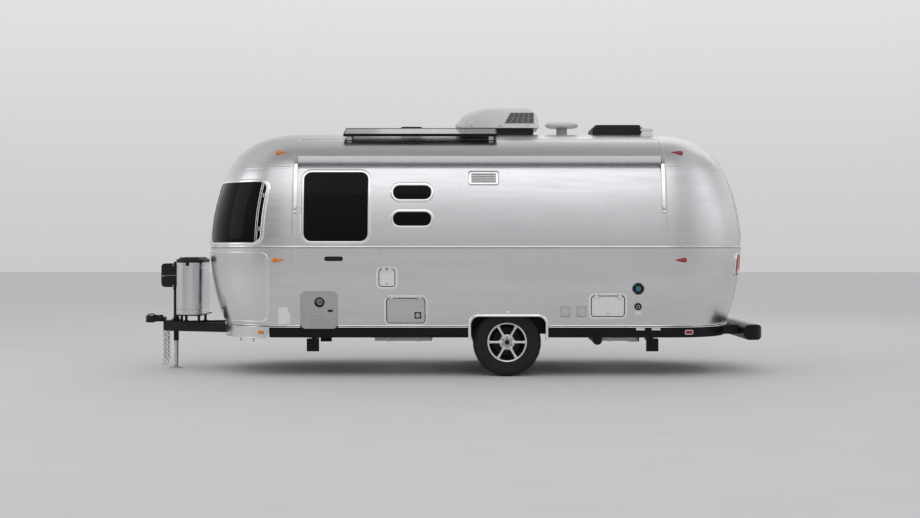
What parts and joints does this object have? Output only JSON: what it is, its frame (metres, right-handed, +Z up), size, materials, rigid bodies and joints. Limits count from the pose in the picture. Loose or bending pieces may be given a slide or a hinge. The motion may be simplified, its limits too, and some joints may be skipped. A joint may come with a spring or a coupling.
{
  "type": "single-axle travel caravan",
  "caption": "Single-axle travel caravan with a rounded sheet-metal shell, dark windows, entry door, roof equipment and a ball-hitch drawbar on its jack.",
  "frame": {"origin": "on the ground, below the middle of the bounding box", "axes": "+X forward to the hitch, +Y to the street side, +Z up"},
  "size_m": [6.62, 2.4774, 2.836],
  "materials": {
    "frame": "black chassis paint",
    "zinc": "zinc plated",
    "bright": "polished",
    "shell": "soft satin sheet",
    "sill": "satin",
    "black_plastic": "moulded",
    "grey_plastic": "moulded",
    "white_plastic": "moulded",
    "black_paint": "satin black",
    "glass": "dark tinted",
    "tyre": "black rubber",
    "rim": "machined",
    "drum": "bare",
    "amber": "clear amber lens",
    "red": "clear red lens",
    "solar": "dark cells under glass"
  },
  "bodies": {
    "caravan": {"frame_rails": "frame", "cross_members": "frame", "drawbar": "frame", "gas_tray": "frame", "coupler": "frame", "safety_chains": "zinc", "jack_tube": "frame", "jack_leg": "zinc", "gas_cover": "bright", "gas_cover_lid": "black_plastic", "floor_panel": "sill", "wheel_wells": "frame", "skirt": "black_paint", "front_guards": "bright", "wheel_arches": "bright", "lower_wall_left": "shell", "lower_wall_right": "shell", "upper_wall_left": "shell", "upper_wall_right": "shell", "roof": "shell", "front_cap_upper": "shell", "front_cap_lower": "shell", "rear_cap_upper": "shell", "rear_cap_lower": "shell", "end_windows": "glass", "end_frames": "bright", "side_windows": "glass", "side_frames": "bright", "axle": "frame", "hinges": "zinc", "step_bracket": "frame", "heater_cover": "grey_plastic", "range_vent": "bright", "service_ports": "black_plastic", "awnings": "bright", "rear_bumper": "black_paint", "holding_tanks": "white_plastic", "drain_pipe": "black_plastic", "stabilizers": "frame", "amber_lamps": "amber", "red_lamps": "red", "air_conditioner": "white_plastic", "ac_base_pan": "black_plastic", "solar_panel": "solar", "roof_vents": "black_plastic", "antenna": "white_plastic"},
    "wheel_left": {"tyre_left": "tyre", "rim_left": "rim", "drum_left": "drum"},
    "wheel_right": {"tyre_right": "tyre", "rim_right": "rim", "drum_right": "drum"},
    "entry_door": {"door_panel": "shell", "door_window": "glass", "door_window_frame": "bright", "door_handle": "black_plastic"},
    "step": {"entry_step": "frame"},
    "access_lid": {"access_hatch": "bright"},
    "service_lid": {"service_hatch": "white_plastic"},
    "fill_lid": {"fill_door": "white_plastic"}
  },
  "joints": [
    {"name": "wheel_left_spin", "type": "hinge", "parent": "caravan", "child": "wheel_left", "pos_m": [-0.63608, 1, 0.351], "axis": [0, 1, 0], "continuous": true},
    {"name": "wheel_right_spin", "type": "hinge", "parent": "caravan", "child": "wheel_right", "pos_m": [-0.63608, -1, 0.351], "axis": [0, 1, 0], "continuous": true},
    {"name": "entry_door_hinge", "type": "hinge", "parent": "caravan", "child": "entry_door", "pos_m": [0.58441, -1.23, 1.05], "axis": [0, 0, 1], "range_deg": [0, 150]},
    {"name": "step_fold", "type": "hinge", "parent": "caravan", "child": "step", "pos_m": [0.24991, -1, 0.34], "axis": [-1, 0, 0], "range_deg": [0, 180]},
    {"name": "access_hatch_hinge", "type": "hinge", "parent": "caravan", "child": "access_lid", "pos_m": [0.40213, 1.20188, 0.8075], "axis": [1, 0, 0], "range_deg": [0, 90]},
    {"name": "service_hatch_hinge", "type": "hinge", "parent": "caravan", "child": "service_lid", "pos_m": [-1.66252, 1.20432, 0.8295], "axis": [1, 0, 0], "range_deg": [0, 90]},
    {"name": "fill_door_hinge", "type": "hinge", "parent": "caravan", "child": "fill_lid", "pos_m": [0.59382, 1.22607, 1.1035], "axis": [1, 0, 0], "range_deg": [0, 90]}
  ]
}
